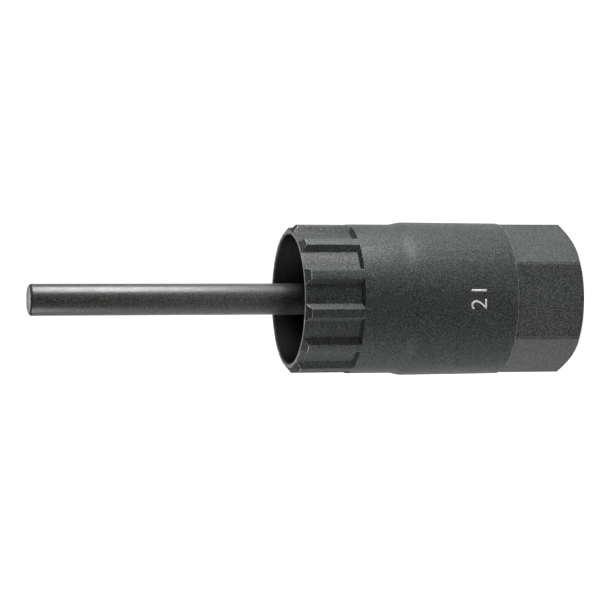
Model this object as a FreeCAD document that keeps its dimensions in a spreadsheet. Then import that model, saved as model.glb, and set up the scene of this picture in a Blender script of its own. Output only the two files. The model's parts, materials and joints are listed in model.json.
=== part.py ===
import FreeCAD, Part
import os
import Sketcher

# Splined socket with a guide pin, for the lockring that holds a bicycle's sprocket cassette.
# Millimetres. Z is the tool's axis: it stands on its hexagon end at z = 0 and the pin points up.
# One flat of the hexagon faces the front, along -Y.

doc = FreeCAD.newDocument("LockringTool")

# Driving dimensions
# Angles are in degrees.

DIMENSIONS = (
    ("body_length", 45.2, "hexagon end to the rim of the spline ring"),
    ("hex_length", 11.3, "hexagon end to the shoulder of the round body"),
    ("hex_across_flats", 20.7, "a 21 mm hexagon at the low end of its tolerance"),
    ("hex_corner_turning", 0.15, "turned off each corner of the hexagon"),
    ("hex_face_inset", 0.05, "from a flat to the chamfer's circle on the end face"),
    ("hex_chamfer_angle", 25.0, "corner chamfer against the end face"),
    ("shoulder_chamfer", 0.1, "broken edge of the shoulder"),
    ("body_draft", 0.1, "the round body's radius at the ramp, over that at the shoulder"),
    ("ramp_rise", 0.35, "round body over the plain collar, on the radius"),
    ("ramp_length", 2.6, "soft ramp along the axis"),
    ("collar_length", 6.5, "plain collar between the flutes and the ramp"),
    ("spline_count", 12.0, "teeth round the ring"),
    ("spline_diameter", 23.4, "over the teeth"),
    ("tooth_height", 1.0, "flute floor to the top of a tooth"),
    ("spline_length", 8.9, "rim to the end of a flute's floor"),
    ("runout_length", 0.42, "sloped end wall of a flute along the axis"),
    ("tooth_base_angle", 14.0, "width of a tooth at its root, seen from the axis"),
    ("tooth_flank_angle", 30.0, "each flank against the tooth's centre line"),
    ("tooth_phase", 21.0, "centre of a tooth from +X"),
    ("lead_length", 0.85, "lead chamfer of the teeth along the axis"),
    ("ring_wall", 0.7, "flute floor to the bore of the cup"),
    ("floor_height", 15.2, "hexagon end to the floor of the cup"),
    ("cup_corner_radius", 1.0, "round the floor of the cup"),
    ("mouth_chamfer", 0.2, "broken edge of the cup's mouth"),
    ("pin_diameter", 4.9, "slides in the 5 mm hole of a quick-release axle"),
    ("pin_shoulder", 0.4, "step that seats on the cup's floor, on the radius"),
    ("pin_reach", 40.8, "rim to the tip of the pin"),
    ("pin_recess", 0.6, "hexagon end to the pressed end of the pin"),
    ("pin_chamfer", 0.35, "tip of the pin"),
    ("shank_chamfer", 0.3, "pressed end of the pin"),
    ("bore_chamfer", 0.3, "mouth of the pin's bore in the hexagon end"),
    ("cut_margin", 1.0, "how far a cutting profile passes the surface that it cuts"),
)

sheet = doc.addObject("Spreadsheet::Sheet", "dim")
for row, (alias, number, note) in enumerate(DIMENSIONS, start=1):
    sheet.set(f"A{row}", alias)
    sheet.set(f"B{row}", str(number))
    sheet.set(f"C{row}", note)
    sheet.setAlias(f"B{row}", alias)
doc.recompute()

# Places worked out from the dimensions
# Each is an expression in the sheet's cells, so a changed cell moves every feature that uses it.

RIM = "dim.body_length"
SHOULDER = "dim.hex_length"
CUP_FLOOR = "dim.floor_height"
TIP = "(dim.body_length + dim.pin_reach)"
TOOTH_R = "(dim.spline_diameter / 2)"
ROOT_R = f"({TOOTH_R} - dim.tooth_height)"
CUP_R = f"({ROOT_R} - dim.ring_wall)"
FRONT_R = f"({TOOTH_R} + dim.ramp_rise)"
BACK_R = f"({FRONT_R} - dim.body_draft)"
RAMP_TOP = f"({RIM} - dim.spline_length - dim.runout_length - dim.collar_length)"
RAMP_FOOT = f"({RAMP_TOP} - dim.ramp_length)"
RAMP_R = "((dim.ramp_length ^ 2 + dim.ramp_rise ^ 2) / (4 * dim.ramp_rise))"
FLAT_R = "(dim.hex_across_flats / 2)"
POINT_R = f"({FLAT_R} / cos(30 deg))"
CORNER_R = f"({POINT_R} - dim.hex_corner_turning)"
FACE_R = f"({FLAT_R} - dim.hex_face_inset)"
PIN_R = "(dim.pin_diameter / 2)"
SHANK_R = f"({PIN_R} - dim.pin_shoulder)"
HALF_PITCH = "(180 deg / dim.spline_count)"
FLOOR_HALF_ANGLE = f"({HALF_PITCH} - dim.tooth_base_angle * 0.5 deg)"
FLANK_DIRECTION = f"({HALF_PITCH} + dim.tooth_flank_angle * 1 deg)"


def size(expression):
    """The present value of an expression in the sheet's cells."""
    found = sheet.evalExpression(expression)
    return float(getattr(found, "Value", found))


def new_body(label):
    body = doc.addObject("PartDesign::Body", label)
    body.Label = label
    return body


def new_sketch(body, name, role, height=None, turn=None):
    """A sketch on one of the body's own origin planes, lifted and turned if asked."""
    plane = next(f for f in body.Origin.OriginFeatures if f.Role == role)
    sketch = body.newObject("Sketcher::SketchObject", name)
    sketch.AttachmentSupport = [(plane, "")]
    sketch.MapMode = "FlatFace"
    if height:
        sketch.setExpression("AttachmentOffset.Base.z", height)
    if turn:
        sketch.AttachmentOffset = FreeCAD.Placement(
            FreeCAD.Vector(0, 0, size(height) if height else 0),
            FreeCAD.Rotation(FreeCAD.Vector(0, 0, 1), size(turn)),
        )
        sketch.setExpression("AttachmentOffset.Rotation.Angle", turn)
    return sketch


def drive(sketch, constraint, expression):
    """Binds a dimension of a sketch to the sheet."""
    index = sketch.addConstraint(constraint)
    sketch.setExpression(f"Constraints[{index}]", expression)


def hold_corner(sketch, edge, end, x, y):
    """Holds one end of an edge at x and y, each an expression or "0" for the sketch's own axis."""
    for text, axis, kind in ((x, -2, "DistanceX"), (y, -1, "DistanceY")):
        if text == "0":
            sketch.addConstraint(Sketcher.Constraint("PointOnObject", edge, end, axis))
        else:
            place = Sketcher.Constraint(kind, -1, 1, edge, end, size(text))
            drive(sketch, place, text)


def outline(sketch, corners, arcs=()):
    """A closed outline through the corners. arcs gives (side, radius, centre's side of the travel: 1 left, -1 right)."""
    spots = [FreeCAD.Vector(size(x) if x != "0" else 0, size(y) if y != "0" else 0, 0) for x, y in corners]
    bends = {side: (radius, hand) for side, radius, hand in arcs}
    edges = []
    starts = []
    for side, start in enumerate(spots):
        end = spots[(side + 1) % len(spots)]
        if side not in bends:
            edges.append(sketch.addGeometry(Part.LineSegment(start, end), False))
            starts.append((1, 2))
            continue
        radius, hand = bends[side]
        chord = end - start
        left = FreeCAD.Vector(-chord.y, chord.x, 0).normalize()
        depth = (size(radius) ** 2 - (chord.Length / 2) ** 2) ** 0.5
        centre = (start + end) * 0.5 + left * (hand * depth)
        middle = centre - left * (hand * size(radius))
        arc = Part.Arc(start, middle, end)
        edges.append(sketch.addGeometry(arc, False))
        starts.append((1, 2) if hand > 0 else (2, 1))
    for side, edge in enumerate(edges):
        following = (side + 1) % len(edges)
        sketch.addConstraint(
            Sketcher.Constraint("Coincident", edge, starts[side][1], edges[following], starts[following][0])
        )
    for side, (x, y) in enumerate(corners):
        hold_corner(sketch, edges[side], starts[side][0], x, y)
    for side, (radius, hand) in bends.items():
        drive(sketch, Sketcher.Constraint("Radius", edges[side], size(radius)), radius)
    return edges


def turned(body, name, sketch, kind):
    """A full turn of a profile about the tool's axis. kind is Revolution to add or Groove to cut."""
    feature = body.newObject(f"PartDesign::{kind}", name)
    feature.Profile = sketch
    feature.ReferenceAxis = (sketch, ["V_Axis"])
    feature.Angle = 360
    doc.recompute()
    return feature


def check_cut(body, before, name):
    """A cut that points away from the solid takes nothing off and shows no error."""
    if not before - body.Shape.Volume > 1e-3:
        raise RuntimeError(f"{name} cut nothing")
    return body.Shape.Volume


# Socket body
# Turned from one bar: hexagon end, drafted round body, soft ramp and the plain ring for the teeth.

socket = new_body("socket_body")
profile = new_sketch(socket, "TurnedProfile", "XZ_Plane")
outline(
    profile,
    (
        ("0", "0"),
        (FACE_R, "0"),
        (CORNER_R, f"({CORNER_R} - {FACE_R}) * tan(dim.hex_chamfer_angle * 1 deg)"),
        (CORNER_R, SHOULDER),
        (f"{BACK_R} - dim.shoulder_chamfer", SHOULDER),
        (BACK_R, f"{SHOULDER} + dim.shoulder_chamfer"),
        (FRONT_R, RAMP_FOOT),
        (f"({FRONT_R} + {TOOTH_R}) / 2", f"({RAMP_FOOT} + {RAMP_TOP}) / 2"),
        (TOOTH_R, RAMP_TOP),
        (TOOTH_R, RIM),
        ("0", RIM),
    ),
    arcs=((6, RAMP_R, 1), (7, RAMP_R, -1)),
)
turned(socket, "TurnedForm", profile, "Revolution")
volume = socket.Shape.Volume

# Hexagon for the wrench
# Six flats are milled off the turned end, up to the shoulder.

flats = new_sketch(socket, "FlatsProfile", "XY_Plane")
outline(
    flats,
    (
        (POINT_R, "0"),
        (f"{POINT_R} * cos(60 deg)", FLAT_R),
        (f"-{POINT_R} * cos(60 deg)", FLAT_R),
        (f"-{POINT_R}", "0"),
        (f"-{POINT_R} * cos(60 deg)", f"-{FLAT_R}"),
        (f"{POINT_R} * cos(60 deg)", f"-{FLAT_R}"),
    ),
)
WASTE_R = f"({POINT_R} + dim.cut_margin)"
waste_edge = flats.addGeometry(
    Part.Circle(FreeCAD.Vector(0, 0, 0), FreeCAD.Vector(0, 0, 1), size(WASTE_R)), False
)
flats.addConstraint(Sketcher.Constraint("Coincident", waste_edge, 3, -1, 1))
drive(flats, Sketcher.Constraint("Radius", waste_edge, size(WASTE_R)), WASTE_R)
milled = socket.newObject("PartDesign::Pocket", "MilledFlats")
milled.Profile = flats
milled.Reversed = True
milled.Length = size(SHOULDER)
milled.setExpression("Length", SHOULDER)
doc.recompute()
volume = check_cut(socket, volume, "MilledFlats")

# Cup
# Bored from the spline end so that it passes over the axle and its locknut.

cup_profile = new_sketch(socket, "CupProfile", "XZ_Plane")
outline(
    cup_profile,
    (
        ("0", CUP_FLOOR),
        (f"{CUP_R} - dim.cup_corner_radius", CUP_FLOOR),
        (CUP_R, f"{CUP_FLOOR} + dim.cup_corner_radius"),
        (CUP_R, f"{RIM} - dim.mouth_chamfer"),
        (f"{CUP_R} + dim.mouth_chamfer + dim.cut_margin", f"{RIM} + dim.cut_margin"),
        ("0", f"{RIM} + dim.cut_margin"),
    ),
    arcs=((1, "dim.cup_corner_radius", 1),),
)
turned(socket, "Cup", cup_profile, "Groove")
volume = check_cut(socket, volume, "Cup")

# Bore for the pin
# It runs from the hexagon end into the cup. The pin's shank is pressed in, line to line.

bore_profile = new_sketch(socket, "BoreProfile", "XZ_Plane")
outline(
    bore_profile,
    (
        ("0", "-dim.cut_margin"),
        (f"{SHANK_R} + dim.bore_chamfer + dim.cut_margin", "-dim.cut_margin"),
        (SHANK_R, "dim.bore_chamfer"),
        (SHANK_R, f"{CUP_FLOOR} + dim.cut_margin"),
        ("0", f"{CUP_FLOOR} + dim.cut_margin"),
    ),
)
turned(socket, "PinBore", bore_profile, "Groove")
volume = check_cut(socket, volume, "PinBore")

# Lead of the teeth
# The whole height of each tooth is chamfered at the rim, so the ring finds the lockring's splines.

lead_profile = new_sketch(socket, "LeadProfile", "XZ_Plane")
outline(
    lead_profile,
    (
        (ROOT_R, RIM),
        (TOOTH_R, f"{RIM} - dim.lead_length"),
        (f"{TOOTH_R} + dim.cut_margin", f"{RIM} - dim.lead_length"),
        (f"{TOOTH_R} + dim.cut_margin", f"{RIM} + dim.cut_margin"),
        (ROOT_R, f"{RIM} + dim.cut_margin"),
    ),
)
turned(socket, "ToothLead", lead_profile, "Groove")
volume = check_cut(socket, volume, "ToothLead")

# Flutes between the teeth
# One flute has a round floor, two straight flanks and a sloped end wall. It is repeated round the ring.


def flute_section(name, floor_r, height):
    """Across the flute at one height: its floor is an arc about the axis, and both heights share the flanks."""
    section = new_sketch(
        socket, name, "XY_Plane", height, f"dim.tooth_phase * 1 deg + {HALF_PITCH}"
    )
    edge_angle = (
        f"({FLANK_DIRECTION} - asin({ROOT_R} * sin({FLANK_DIRECTION} - {FLOOR_HALF_ANGLE}) / {floor_r}))"
    )
    edge_x = f"{floor_r} * cos{edge_angle}"
    edge_y = f"{floor_r} * sin{edge_angle}"
    outer_x = f"{TOOTH_R} + dim.cut_margin"
    outer_y = f"({edge_y} + ({outer_x} - {edge_x}) * tan({FLANK_DIRECTION}))"
    outline(
        section,
        ((edge_x, f"-{edge_y}"), (outer_x, f"-{outer_y}"), (outer_x, outer_y), (edge_x, edge_y)),
        arcs=((3, floor_r, -1),),
    )
    return section


floor_section = flute_section("FluteSection", ROOT_R, f"{RIM} - dim.spline_length")
end_section = flute_section("FluteEndSection", TOOTH_R, f"{RIM} - dim.spline_length - dim.runout_length")

flute = socket.newObject("PartDesign::Pocket", "Flute")
flute.Profile = floor_section
flute.Reversed = True
flute.Length = size("dim.spline_length + dim.cut_margin")
flute.setExpression("Length", "dim.spline_length + dim.cut_margin")
doc.recompute()
volume = check_cut(socket, volume, "Flute")

runout = socket.newObject("PartDesign::SubtractiveLoft", "FluteRunout")
runout.Profile = floor_section
runout.Sections = [end_section]
runout.Ruled = True
doc.recompute()
volume = check_cut(socket, volume, "FluteRunout")

ring = socket.newObject("PartDesign::PolarPattern", "SplineRing")
ring.Originals = [flute, runout]
ring.Axis = (next(f for f in socket.Origin.OriginFeatures if f.Role == "Z_Axis"), [""])
ring.Angle = 360
ring.Occurrences = int(size("dim.spline_count"))
ring.setExpression("Occurrences", "dim.spline_count")
socket.Tip = ring
doc.recompute()
volume = check_cut(socket, volume, "SplineRing")

# Guide pin
# A ground pin that centres the tool in the axle. Its shoulder seats on the floor of the cup.

pin = new_body("guide_pin")
pin_profile = new_sketch(pin, "PinProfile", "XZ_Plane")
outline(
    pin_profile,
    (
        ("0", "dim.pin_recess"),
        (f"{SHANK_R} - dim.shank_chamfer", "dim.pin_recess"),
        (SHANK_R, "dim.pin_recess + dim.shank_chamfer"),
        (SHANK_R, CUP_FLOOR),
        (PIN_R, CUP_FLOOR),
        (PIN_R, f"{TIP} - dim.pin_chamfer"),
        (f"{PIN_R} - dim.pin_chamfer", TIP),
        ("0", TIP),
    ),
)
turned(pin, "TurnedPin", pin_profile, "Revolution")

# Checks and export

doc.recompute()
for item in doc.Objects:
    if {"Invalid", "Error"} & set(item.State):
        raise RuntimeError(f"{item.Label} failed: {item.State}")
os.makedirs("parts", exist_ok=True)
for body in (socket, pin):
    if body.Shape.isNull() or not body.Shape.isValid() or len(body.Shape.Solids) != 1:
        raise RuntimeError(f"{body.Label} is not one valid solid")
    body.Shape.exportStep(f"parts/{body.Label}.step")
    box = body.Shape.BoundBox
    print(f"{body.Label}: {body.Shape.Volume:.1f} mm3, z {box.ZMin:.2f} to {box.ZMax:.2f}")
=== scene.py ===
# %% [markdown]
# # A splined socket with a guide pin
#
# This lesson dresses a bicycle workshop tool: a dark steel socket whose twelve teeth fit the lockring of a
# sprocket cassette, with a hexagon for the wrench and a long pin that centres it in the axle.
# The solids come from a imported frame. Here they get rounded edges, finishes, light and a camera.

# %% Load the frame
import bpy
import json
import math
from mathutils import Matrix, Vector

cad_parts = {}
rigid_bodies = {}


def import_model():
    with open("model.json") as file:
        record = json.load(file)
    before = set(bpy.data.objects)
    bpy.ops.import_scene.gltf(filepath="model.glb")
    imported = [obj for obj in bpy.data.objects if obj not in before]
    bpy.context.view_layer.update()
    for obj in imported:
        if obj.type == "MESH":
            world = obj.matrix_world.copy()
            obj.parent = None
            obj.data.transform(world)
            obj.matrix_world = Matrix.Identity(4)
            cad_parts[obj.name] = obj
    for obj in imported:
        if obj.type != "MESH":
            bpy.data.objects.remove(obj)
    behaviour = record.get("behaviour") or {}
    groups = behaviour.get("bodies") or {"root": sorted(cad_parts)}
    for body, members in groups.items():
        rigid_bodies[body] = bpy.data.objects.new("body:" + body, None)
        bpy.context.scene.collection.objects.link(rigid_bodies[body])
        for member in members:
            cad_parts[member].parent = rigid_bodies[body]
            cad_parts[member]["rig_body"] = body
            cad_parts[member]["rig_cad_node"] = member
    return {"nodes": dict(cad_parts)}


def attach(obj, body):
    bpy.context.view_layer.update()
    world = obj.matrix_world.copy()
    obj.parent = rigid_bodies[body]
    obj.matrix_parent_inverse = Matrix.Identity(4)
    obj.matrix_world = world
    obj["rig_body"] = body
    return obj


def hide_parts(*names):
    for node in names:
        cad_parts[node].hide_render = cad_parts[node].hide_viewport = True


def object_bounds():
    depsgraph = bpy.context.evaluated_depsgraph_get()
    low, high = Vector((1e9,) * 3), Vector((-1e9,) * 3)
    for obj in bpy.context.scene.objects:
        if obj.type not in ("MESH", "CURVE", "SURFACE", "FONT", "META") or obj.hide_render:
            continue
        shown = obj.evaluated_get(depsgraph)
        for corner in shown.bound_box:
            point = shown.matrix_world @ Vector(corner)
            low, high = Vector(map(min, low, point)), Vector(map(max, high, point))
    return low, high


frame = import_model()
cad_low, cad_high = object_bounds()
MM = 0.001
print("nodes:", sorted(frame["nodes"]), "box in mm:", [round(v / MM, 2) for v in cad_high - cad_low])

# %% [markdown]
# ## The camera
#
# The photograph was taken from close by, past the tip of the pin, so the round ends open up more and more
# towards the hexagon. A camera's place can be fitted to that: the known 23.4 mm of the spline ring gives the
# scale, and the widths of the ellipses give the height. The camera is then rolled so that the pin points
# left.

# %% Camera
CAMERA_PLACE = Vector((13.42, -384.77, 144.17)) * MM
CAMERA_AIM = Vector((-0.16, 0.0, 43.31)) * MM
CAMERA_ROLL = math.radians(0.19)
CAMERA_LENS = 152.87
SENSOR_WIDTH = 36
TOWARDS_HEXAGON = Vector((0, 0, -1))

camera = bpy.data.objects.new("Camera", bpy.data.cameras.new("Camera"))
bpy.context.scene.collection.objects.link(camera)
bpy.context.scene.camera = camera
camera.data.lens = CAMERA_LENS
camera.data.sensor_width = SENSOR_WIDTH
forward = (CAMERA_AIM - CAMERA_PLACE).normalized()
right = (TOWARDS_HEXAGON - forward * forward.dot(TOWARDS_HEXAGON)).normalized()
right = Matrix.Rotation(CAMERA_ROLL, 3, forward) @ right
up = right.cross(forward)
camera.matrix_world = Matrix.Translation(CAMERA_PLACE) @ Matrix((right, up, -forward)).transposed().to_4x4()
print("camera stands", round((CAMERA_AIM - CAMERA_PLACE).length / MM), "mm from what it looks at")

# %% [markdown]
# ## Tools for modelling
#
# Every operator works on what is selected, so a piece is always made from a clean selection. Two helpers do
# that: one selects a single object, the other names it and puts its place into its mesh.
# A third one rounds its edges.

# %% Modelling helpers
SMOOTH_ANGLE = math.radians(32)


def only(piece):
    """Selects one object and makes it active."""
    bpy.ops.object.select_all(action="DESELECT")
    piece.hide_set(False)
    piece.select_set(True)
    bpy.context.view_layer.objects.active = piece


def settle(piece, name):
    """Names a piece and leaves it at the origin, unturned and unscaled."""
    only(piece)
    bpy.ops.object.transform_apply(location=True, rotation=True, scale=True)
    piece.name = name
    piece.data.name = name
    return piece


def add_bevel(piece, width, angle, wear_slot=0):
    """Rounds the edges sharper than the angle in degrees. The narrow new faces take the wear slot."""
    only(piece)
    bevel = piece.modifiers.new("Edges", "BEVEL")
    bevel.width = width
    bevel.segments = 2
    bevel.limit_method = "ANGLE"
    bevel.angle_limit = math.radians(angle)
    bevel.use_clamp_overlap = True
    bevel.material = wear_slot
    bpy.ops.object.modifier_apply(modifier=bevel.name)
    bpy.ops.object.shade_smooth_by_angle(angle=SMOOTH_ANGLE)
    print(piece.name, "has", len(piece.data.polygons), "faces after its edges are rounded")


# %% [markdown]
# ## The socket
#
# On the real tool the socket is turned from one bar, its flats and flutes are milled, and then it is tumbled
# and phosphated. Tumbling rounds every edge a little, and those edges are the first to wear bright.
# The solid already has the exact form, so the piece starts as a merged copy of it. Its flat regions are
# joined back into single faces, and a fine bevel rounds the edges. This keeps every tooth true to the solid.
# The bevel is clamped, so it stays narrower than its full width where the edges lie close together.

# %% Socket from the solid
EDGE_WIDTH = 0.15 * MM
SOCKET_ANGLE = 14
SAME_POINT = 0.001 * MM
SAME_PLANE = math.radians(0.3)
# CUP_SHADE is the slot for the painted shade inside the cup.
COATED, WORN, CUP_SHADE = 0, 1, 2

socket = frame["nodes"]["socket_body"].copy()
socket.data = socket.data.copy()
socket.name = "socket"
bpy.context.scene.collection.objects.link(socket)
socket.parent = None
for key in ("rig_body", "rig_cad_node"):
    del socket[key]
only(socket)
socket.data.materials.clear()
bpy.ops.object.mode_set(mode="EDIT")
bpy.ops.mesh.select_all(action="SELECT")
bpy.ops.mesh.remove_doubles(threshold=SAME_POINT)
bpy.ops.mesh.dissolve_limited(angle_limit=SAME_PLANE, delimit={"NORMAL"})
bpy.ops.object.mode_set(mode="OBJECT")
print("socket: merged to", len(socket.data.vertices), "points and", len(socket.data.polygons), "faces")

# %% Socket edges
for name in ("dark_phosphate", "worn_edge", "cup_painted_shade"):
    socket.data.materials.append(bpy.data.materials.new(name))
add_bevel(socket, EDGE_WIDTH, SOCKET_ANGLE, wear_slot=WORN)
settle(socket, "socket")
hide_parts("socket_body")
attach(socket, "root")

# %% [markdown]
# ## Where the edges are worn
#
# The lead of each tooth rubs on the lockring every time the tool goes in, so its edges are bare and bright.
# The rim, the end of the hexagon and the corners of its flats only touch now and then.
# Each narrow edge face gets a number for its wear, from its place on the tool. The finish reads it later.
# The flat rim takes part too, because it lands on the sprocket. The hexagon's flats get a small number as
# well,
# which makes them a little lighter: painted light, for light that falls more strongly on that end. The inside
# of the cup touches nothing, and its faces get a finish of their own, nearly black: painted shade, deep in
# the cup.

# %% Places and amounts of wear, and the painted light on the flats
# HAIR is how near to a plane a face has to lie to count as part of it.
RIM = 45.2 * MM
ROOT_R = 10.7 * MM
CUP_R = 10.0 * MM
CUP_FLOOR = 15.2 * MM
SHOULDER = 11.3 * MM
LEAD_END = RIM - 1.15 * MM
LEAD_R = ROOT_R + 0.1 * MM
MOUTH = RIM - 0.4 * MM
FLUTE_END = RIM - 9.6 * MM
FLUTE_R = ROOT_R + 0.6 * MM
FOOT = 1.0 * MM
NEAR_SHOULDER = 0.3 * MM
HAIR = 0.01 * MM

RIM_WEAR = 0.50
LEAD_WEAR = 1.2
MOUTH_WEAR = 0.66
FLUTE_WEAR = 0.52
FOOT_WEAR = 0.62
CORNER_WEAR = 0.48
SHOULDER_WEAR = 0.80
OTHER_WEAR = 0.12
# Painted light: how much lighter the hexagon's flats are made, for light that falls more strongly on that
# end.
FLATS_PAINTED_LIGHT = 0.32


def wear_at(centre):
    """How bare an edge is: 0.1 is coated, and 1 or more is bright."""
    radius = math.hypot(centre.x, centre.y)
    if centre.z > RIM - HAIR:
        return RIM_WEAR
    if centre.z > LEAD_END and radius > LEAD_R:
        return LEAD_WEAR
    if centre.z > MOUTH:
        return MOUTH_WEAR
    if centre.z > FLUTE_END and radius > FLUTE_R:
        return FLUTE_WEAR
    if centre.z < FOOT:
        return FOOT_WEAR
    if centre.z < SHOULDER - NEAR_SHOULDER:
        return CORNER_WEAR
    if centre.z < SHOULDER + NEAR_SHOULDER:
        return SHOULDER_WEAR
    return OTHER_WEAR


# %% Wear, painted light and painted shade of the faces
CUP_MARGIN = 0.05 * MM

wear_and_painted_light = socket.data.attributes.new("wear_and_painted_light", "FLOAT", "FACE")
counts = {}
for face in socket.data.polygons:
    place, normal = face.center, face.normal
    if place.z > RIM - HAIR and normal.z > 0.9:
        face.material_index = WORN
    # Painted shade: the faces inside the cup take a finish of their own that is nearly black.
    elif place.z > CUP_FLOOR - HAIR and math.hypot(place.x, place.y) < CUP_R + CUP_MARGIN:
        face.material_index = CUP_SHADE
    upright = normal.z ** 2 < 0.01
    if face.material_index == WORN:
        amount = wear_at(place)
    # Painted light: the upright flats below the shoulder get a number that makes them lighter.
    elif face.material_index == COATED and place.z < SHOULDER and upright:
        amount = FLATS_PAINTED_LIGHT
    else:
        amount = 0.0
    wear_and_painted_light.data[face.index].value = amount
    counts[round(amount, 2)] = counts.get(round(amount, 2), 0) + 1
print("faces by wear:", counts)

# %% [markdown]
# ## The guide pin
#
# The pin is a ground rod with a small chamfer at its tip and a shoulder that seats on the floor of the cup.
# Its end is cut off after the rod is blackened, so the flat there is bare steel.
# It starts as a cylinder between the shoulder and the tip. The chamfer is a bevel of the top edge,
# and the thinner shank is extruded from the bottom face.

# %% Guide pin
PIN_R = 2.45 * MM
SHANK_R = 2.05 * MM
PIN_FOOT = CUP_FLOOR
SHANK_END = 0.6 * MM
PIN_TIP = cad_high.z
TIP_CHAMFER = 0.35 * MM

bpy.ops.object.select_all(action="DESELECT")
bpy.ops.mesh.primitive_cylinder_add(
    vertices=128, radius=PIN_R, depth=PIN_TIP - PIN_FOOT, location=(0, 0, (PIN_TIP + PIN_FOOT) / 2)
)
pin = settle(bpy.context.object, "pin")


def select_ring(piece, height):
    """Selects the flat face whose centre lies at that height."""
    bpy.ops.mesh.select_mode(type="FACE")
    bpy.ops.mesh.select_all(action="DESELECT")
    bpy.ops.object.mode_set(mode="OBJECT")
    for face in piece.data.polygons:
        face.select = abs(face.center.z - height) < SAME_POINT and abs(face.normal.z) > 0.99
    bpy.ops.object.mode_set(mode="EDIT")


only(pin)
bpy.ops.object.mode_set(mode="EDIT")
select_ring(pin, PIN_TIP)
bpy.ops.mesh.bevel(offset=TIP_CHAMFER, segments=1, affect="EDGES")
select_ring(pin, PIN_FOOT)
bpy.ops.mesh.inset(thickness=PIN_R - SHANK_R)
bpy.ops.mesh.extrude_region_move(TRANSFORM_OT_translate={"value": (0, 0, SHANK_END - PIN_FOOT)})
bpy.ops.object.mode_set(mode="OBJECT")
print("pin runs from", round(SHANK_END / MM, 2), "to", round(PIN_TIP / MM, 2), "mm")

# %% Pin edges and end
PIN_EDGE = 0.06 * MM
PIN_ANGLE = 30
BARE = 1

for name in ("ground_pin", "pin_end"):
    pin.data.materials.append(bpy.data.materials.new(name))
add_bevel(pin, PIN_EDGE, PIN_ANGLE)
for face in pin.data.polygons:
    if face.center.z > PIN_TIP - HAIR:
        face.material_index = BARE
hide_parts("guide_pin")
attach(pin, "root")

# %% [markdown]
# ## The size mark
#
# A workshop tool carries the width of its wrench as an etched number, read from the front with the tool on
# its hexagon. The laser leaves a pale skin, here two hundredths of a millimetre thick. A text object gives
# the digits. They become a mesh, are cut into narrow strips so that they can bend, and are then pressed onto
# the socket with Shrinkwrap. Solidify closes them into a thin skin that lies half in the surface.

# %% Size mark as text
MARK_FOOT = 16.6 * MM
MARK_MIDDLE = 0.6 * MM
MARK_FRONT = -14.0 * MM
TEXT_SIZE = 3.7 * MM
THINNER = -0.03 * MM
STRIP = 0.25 * MM
HALF_STRIPS = 12

bpy.ops.object.select_all(action="DESELECT")
bpy.ops.object.text_add(location=(MARK_MIDDLE, MARK_FRONT, MARK_FOOT), rotation=(math.radians(90), 0, 0))
digits = bpy.context.object
digits.data.body = "21"
digits.data.size = TEXT_SIZE
digits.data.align_x = "CENTER"
digits.data.space_character = 1.15
digits.data.offset = THINNER
bpy.ops.object.convert(target="MESH")
mark = settle(bpy.context.object, "size_mark")
bpy.ops.object.mode_set(mode="EDIT")
for step in range(-HALF_STRIPS, HALF_STRIPS + 1):
    bpy.ops.mesh.select_all(action="SELECT")
    bpy.ops.mesh.bisect(plane_co=(MARK_MIDDLE + step * STRIP, 0, 0), plane_no=(1, 0, 0))
bpy.ops.object.mode_set(mode="OBJECT")
print("mark is cut into strips", STRIP / MM, "mm wide")

# %% Size mark on the socket
SKIN = 0.02 * MM

press = mark.modifiers.new("Press", "SHRINKWRAP")
press.target = socket
press.wrap_method = "PROJECT"
press.use_project_y = True
press.use_positive_direction = True
skin = mark.modifiers.new("Skin", "SOLIDIFY")
skin.thickness = SKIN
skin.offset = 0.0
for modifier in (press, skin):
    bpy.ops.object.modifier_apply(modifier=modifier.name)
mark.data.materials.clear()
mark.data.materials.append(bpy.data.materials.new("etched_skin"))
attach(mark, "root")
spread_x = [point.co.x / MM for point in mark.data.vertices]
spread_z = [point.co.z / MM for point in mark.data.vertices]
print("mark is", round(max(spread_x) - min(spread_x), 2), "by", round(max(spread_z) - min(spread_z), 2), "mm")

# %% [markdown]
# ## Finishes
#
# Phosphate is a coat of tiny crystals: a dark, dry grain that scatters light, with a few lighter specks.
# It is built from noise at the size of the crystals, which moves the colour, the roughness and the bump
# together. The pin is ground before it is blackened, so it is smoother and keeps a half gloss.
# All the patterns use Object coordinates, so they stay on the metal in every view.

# %% Material helpers


def node(tree, kind, place, **inputs):
    """Adds a node and sets its sockets by name."""
    made = tree.nodes.new(kind)
    made.location = place
    for name, value in inputs.items():
        made.inputs[name.replace("_", " ")].default_value = value
    return made


def start_material(name, **constants):
    """A material with one surface, its constant sockets by name, and Object coordinates."""
    material = bpy.data.materials[name]
    material.use_nodes = True
    tree = material.node_tree
    tree.nodes.clear()
    output = node(tree, "ShaderNodeOutputMaterial", (900, 0))
    surface = node(tree, "ShaderNodeBsdfPrincipled", (600, 0), **constants)
    tree.links.new(surface.outputs["BSDF"], output.inputs["Surface"])
    coords = node(tree, "ShaderNodeTexCoord", (-900, 0))
    return tree, surface, coords.outputs["Object"]


def grain(tree, coords, scale, detail, place):
    """Noise at a scale given in cells per millimetre."""
    noise = node(tree, "ShaderNodeTexNoise", place, Scale=scale / MM, Detail=detail, Roughness=0.6)
    tree.links.new(coords, noise.inputs["Vector"])
    return noise.outputs["Fac"]


def attribute(tree, name, place):
    """The value of a mesh attribute."""
    made = node(tree, "ShaderNodeAttribute", place)
    made.attribute_name = name
    return made.outputs["Fac"]


def grey(level):
    """A colour without a tint."""
    return (level, level, level)


def ramp(tree, value, stops, place):
    """Maps a value to colours. stops are (position, colour)."""
    made = node(tree, "ShaderNodeValToRGB", place)
    tree.links.new(value, made.inputs["Fac"])
    while len(made.color_ramp.elements) < len(stops):
        made.color_ramp.elements.new(0.5)
    for element, (position, colour) in zip(made.color_ramp.elements, stops):
        element.position = position
        element.color = (*colour, 1)
    return made.outputs["Color"]


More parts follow.
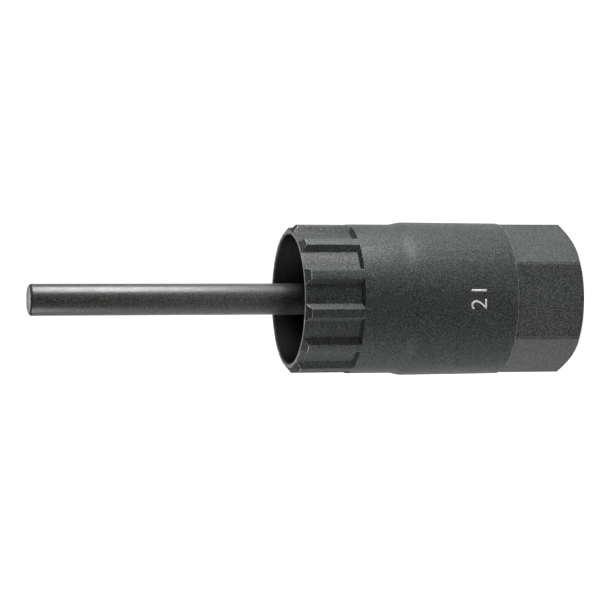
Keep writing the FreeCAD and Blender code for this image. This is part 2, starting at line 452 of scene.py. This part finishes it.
def blend(tree, factor, first, second, place, mode="MIX"):
    """Mixes two colours. factor is a number or a socket."""
    mix = node(tree, "ShaderNodeMix", place)
    mix.data_type = "RGBA"
    mix.blend_type = mode
    if isinstance(factor, float):
        mix.inputs[0].default_value = factor
    else:
        tree.links.new(factor, mix.inputs[0])
    tree.links.new(first, mix.inputs[6])
    tree.links.new(second, mix.inputs[7])
    return mix.outputs[2]


def bump(tree, surface, height, distance, strength, place):
    """A relief whose depth is given in metres."""
    made = node(tree, "ShaderNodeBump", place, Distance=distance, Strength=strength)
    tree.links.new(height, made.inputs["Height"])
    tree.links.new(made.outputs["Normal"], surface.inputs["Normal"])


# %% Dark phosphate
CRYSTALS_PER_MM = 6.5
CRYSTAL_DEPTH = 0.018 * MM

tree, surface, coords = start_material("dark_phosphate", IOR=1.27)
crystals = grain(tree, coords, CRYSTALS_PER_MM, 2.0, (-600, 200))
clouds = grain(tree, coords, 0.25, 2.0, (-600, -100))
tint_stops = [(0.37, (0.002, 0.003, 0.003)), (0.5, (0.010, 0.013, 0.011)), (0.64, (0.050, 0.055, 0.051))]
tint = ramp(tree, crystals, tint_stops, (-300, 200))
patches = ramp(tree, clouds, [(0.3, (0.82, 0.83, 0.84)), (0.7, (1.0, 1.0, 0.99))], (-300, -100))
coated = blend(tree, 1.0, tint, patches, (0, 100), "MULTIPLY")
# Painted light: the hexagon's flats are blended towards this lighter colour by their number.
painted_light_tint = ramp(tree, crystals, [(0.37, (0.010, 0.011, 0.010)), (0.64, (0.090, 0.094, 0.090))], (-300, 450))
painted_light_share = attribute(tree, "wear_and_painted_light", (0, 400))
tree.links.new(blend(tree, painted_light_share, coated, painted_light_tint, (300, 200)), surface.inputs["Base Color"])
gloss = ramp(tree, crystals, [(0.3, grey(0.62)), (0.7, grey(0.44))], (-300, -350))
tree.links.new(gloss, surface.inputs["Roughness"])
bump(tree, surface, crystals, CRYSTAL_DEPTH, 0.4, (300, -300))
print("dark phosphate: crystals about", round(1 / CRYSTALS_PER_MM, 2), "mm across")

# %% Cup, painted shade
CUP_GRAIN_PER_MM = 5.0
CUP_GRAIN_DEPTH = 0.01 * MM

tree, surface, coords = start_material("cup_painted_shade", IOR=1.13)
cup_grain = grain(tree, coords, CUP_GRAIN_PER_MM, 3.0, (-600, 200))
# Painted shade: a nearly black colour inside the cup, for the shade that falls deep in it.
depth = ramp(tree, cup_grain, [(0.38, grey(0.002)), (0.62, (0.009, 0.010, 0.009))], (-300, 200))
tree.links.new(depth, surface.inputs["Base Color"])
cup_roughness = ramp(tree, cup_grain, [(0.3, grey(0.70)), (0.7, grey(0.55))], (-300, -200))
tree.links.new(cup_roughness, surface.inputs["Roughness"])
bump(tree, surface, cup_grain, CUP_GRAIN_DEPTH, 0.4, (300, -300))
print("oiled cup: film breaks up about every", round(1 / CUP_GRAIN_PER_MM, 2), "mm")

# %% Worn edges
RUBS_PER_MM = 1.6

tree, surface, coords = start_material("worn_edge", Metallic=0.35, Roughness=0.45)
rub = grain(tree, coords, RUBS_PER_MM, 6.0, (-900, 200))
bare = node(tree, "ShaderNodeMath", (-600, 100))
bare.operation = "ADD"
tree.links.new(rub, bare.inputs[0])
tree.links.new(attribute(tree, "wear_and_painted_light", (-900, -100)), bare.inputs[1])
spread = node(tree, "ShaderNodeMapRange", (-400, 100), From_Min=0.75, From_Max=1.55)
tree.links.new(bare.outputs["Value"], spread.inputs["Value"])
shine_stops = [(0.0, (0.030, 0.030, 0.031)), (0.35, (0.16, 0.155, 0.15)), (1.0, (0.80, 0.78, 0.74))]
shine = ramp(tree, spread.outputs["Result"], shine_stops, (-200, 100))
tree.links.new(shine, surface.inputs["Base Color"])
print("worn edges: bare steel where the wear and the noise add up")

# %% Etched skin
BURNS_PER_MM = 4.0

tree, surface, coords = start_material("etched_skin", Roughness=0.6, Specular_IOR_Level=0.3)
burn = grain(tree, coords, BURNS_PER_MM, 3.0, (-600, 100))
pale = ramp(tree, burn, [(0.3, (0.24, 0.22, 0.21)), (0.7, (0.50, 0.47, 0.45))], (-300, 100))
tree.links.new(pale, surface.inputs["Base Color"])
print("etched skin: burns about", round(1 / BURNS_PER_MM, 2), "mm across")

# %% Ground pin
GRINDS_PER_MM = 5.5
GRIND_DEPTH = 0.010 * MM

tree, surface, coords = start_material("ground_pin", IOR=1.38)
fine = grain(tree, coords, GRINDS_PER_MM, 2.0, (-600, 200))
smear = grain(tree, coords, 0.5, 3.0, (-600, -150))
black_stops = [(0.38, grey(0.004)), (0.5, (0.016, 0.015, 0.014)), (0.62, (0.046, 0.044, 0.041))]
black = ramp(tree, fine, black_stops, (-300, 200))
warm = ramp(tree, smear, [(0.35, (0.85, 0.86, 0.9)), (0.7, (1.0, 0.96, 0.93))], (-300, -100))
tree.links.new(blend(tree, 1.0, black, warm, (0, 100), "MULTIPLY"), surface.inputs["Base Color"])
polish = ramp(tree, smear, [(0.3, grey(0.40)), (0.7, grey(0.30))], (-300, -400))
tree.links.new(polish, surface.inputs["Roughness"])
bump(tree, surface, fine, GRIND_DEPTH, 0.5, (300, -300))
print("ground pin: grain about", round(1 / GRINDS_PER_MM, 2), "mm across")

# %% Pin end
CUTS_PER_MM = 1.4

tree, surface, coords = start_material("pin_end", Metallic=0.6, Roughness=0.35)
cut = grain(tree, coords, CUTS_PER_MM, 4.0, (-600, 100))
steel = ramp(tree, cut, [(0.35, (0.16, 0.17, 0.17)), (0.65, (0.52, 0.54, 0.54))], (-300, 100))
tree.links.new(steel, surface.inputs["Base Color"])
print("pin end: bare steel, patches about", round(1 / CUTS_PER_MM, 2), "mm across")

# %% [markdown]
# ## Floor and light
#
# The photograph's ground is plain white. A broad pale floor fills the frame, because the camera looks down on
# it. The floor glows by itself, so it stays white from every side and hides the shadows of the tool.
# The body is bright along its two sides and dark towards the camera. Two soft boxes at the sides give that:
# the key stands low and near, on the side that the picture shows as the top, and draws the long highlight on
# the pin. The fill stands farther off and higher. A large box above and behind lights the far floor.

# %% Floor
FLOOR_SIZE = 6.0
FLOOR_PAINT = 0.42
FLOOR_GLOW = 0.80

bpy.ops.object.select_all(action="DESELECT")
bpy.ops.mesh.primitive_plane_add(size=FLOOR_SIZE, location=(0, 0, 0))
floor = settle(bpy.context.object, "floor")
floor.data.materials.append(bpy.data.materials.new("pale_floor"))
tree, surface, coords = start_material("pale_floor", Roughness=0.9, Specular_IOR_Level=0.0)
surface.inputs["Base Color"].default_value = (*grey(FLOOR_PAINT), 1)
surface.inputs["Emission Color"].default_value = (1, 1, 1, 1)
surface.inputs["Emission Strength"].default_value = FLOOR_GLOW
print("floor is", FLOOR_SIZE, "m wide")

# %% Light
WORLD_LIGHT = 0.04

world = bpy.data.worlds.new("studio")
bpy.context.scene.world = world
world.use_nodes = True
background = world.node_tree.nodes["Background"]
background.inputs["Color"].default_value = (1, 1, 1, 1)
background.inputs["Strength"].default_value = WORLD_LIGHT


def soft_box(name, place, aim, width, height, power):
    """A rectangular area light that faces its aim. Lengths are metres and the power is watts."""
    data = bpy.data.lights.new(name, "AREA")
    data.shape = "RECTANGLE"
    data.size = width
    data.size_y = height
    data.energy = power
    box = bpy.data.objects.new(name, data)
    bpy.context.scene.collection.objects.link(box)
    box.visible_camera = False
    box.location = place
    box.rotation_mode = "QUATERNION"
    box.rotation_quaternion = (Vector(aim) - Vector(place)).to_track_quat("-Z", "Y")
    print(name, "stands", round((Vector(aim) - Vector(place)).length, 2), "m from its aim")


soft_box("key", (0.242, -0.040, 0.060), (0, 0, 0.050), 0.19, 0.115, 2.0)
soft_box("fill", (-0.45, -0.05, 0.22), (0, 0, 0.0), 0.35, 0.25, 3.8)
soft_box("top", (0.0, 0.80, 0.80), (0, 0.45, 0.0), 1.20, 1.20, 6.0)
bpy.context.scene.view_settings.view_transform = "Standard"
